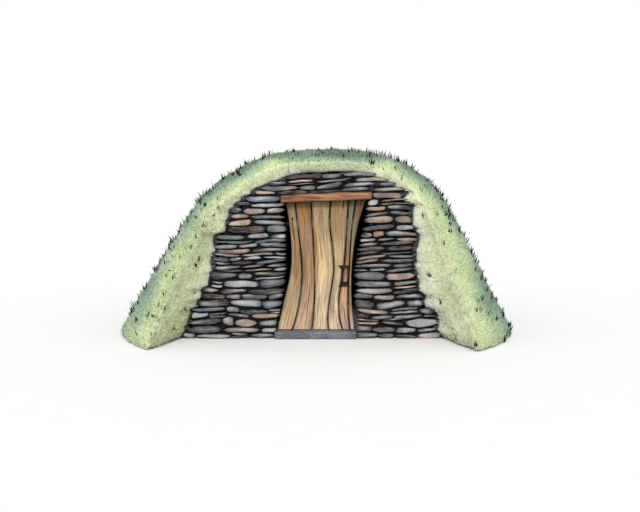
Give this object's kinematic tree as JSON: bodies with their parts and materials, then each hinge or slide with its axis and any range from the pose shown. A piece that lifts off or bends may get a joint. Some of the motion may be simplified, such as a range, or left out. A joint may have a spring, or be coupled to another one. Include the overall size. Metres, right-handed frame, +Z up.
{
  "type": "root cellar",
  "caption": "Sod-covered root cellar with a dry-stacked slate front, a corbelled stone chamber and a low waisted plank door that opens inward.",
  "frame": {"origin": "middle of the mound's footprint, on the ground", "axes": "+X to the right as seen from the front, +Y into the mound, +Z up; the door faces -Y"},
  "size_m": [4.92, 6.1486, 2.247],
  "materials": {
    "slate": "matte",
    "sod": "matte",
    "plank_timber": "matte",
    "lintel_timber": "matte",
    "iron": "satin"
  },
  "bodies": {
    "cellar": {"front_wall_left": "slate", "front_wall_right": "slate", "jamb_stones_left": "slate", "jamb_stones_right": "slate", "front_wall_head": "slate", "threshold_stone": "slate", "side_wall_left": "slate", "side_wall_right": "slate", "vault_course_1": "slate", "vault_course_2": "slate", "vault_course_3": "slate", "vault_course_4": "slate", "vault_course_5": "slate", "capstones": "slate", "back_wall": "slate", "lintel_front": "lintel_timber", "lintel_middle": "lintel_timber", "lintel_rear": "lintel_timber", "door_post": "lintel_timber", "mound_front_left": "sod", "mound_front_right": "sod", "mound_bank_left": "sod", "mound_bank_right": "sod", "mound_haunch_left": "sod", "mound_haunch_right": "sod", "mound_crest": "sod", "mound_back": "sod", "pintle_lower": "iron", "pintle_upper": "iron"},
    "door": {"door_plank_1": "plank_timber", "door_plank_2": "plank_timber", "door_plank_3": "plank_timber", "door_plank_4": "plank_timber", "door_plank_5": "plank_timber", "door_plank_6": "plank_timber", "door_ledge_lower": "plank_timber", "door_ledge_upper": "plank_timber", "door_brace": "plank_timber", "hinge_strap_lower": "iron", "hinge_strap_upper": "iron", "door_pull": "iron"}
  },
  "joints": [
    {"name": "door_hinge", "type": "hinge", "parent": "cellar", "child": "door", "pos_m": [-0.44, -1.9857, 0.32], "axis": [0, 0, 1], "range_deg": [0, 95]}
  ]
}
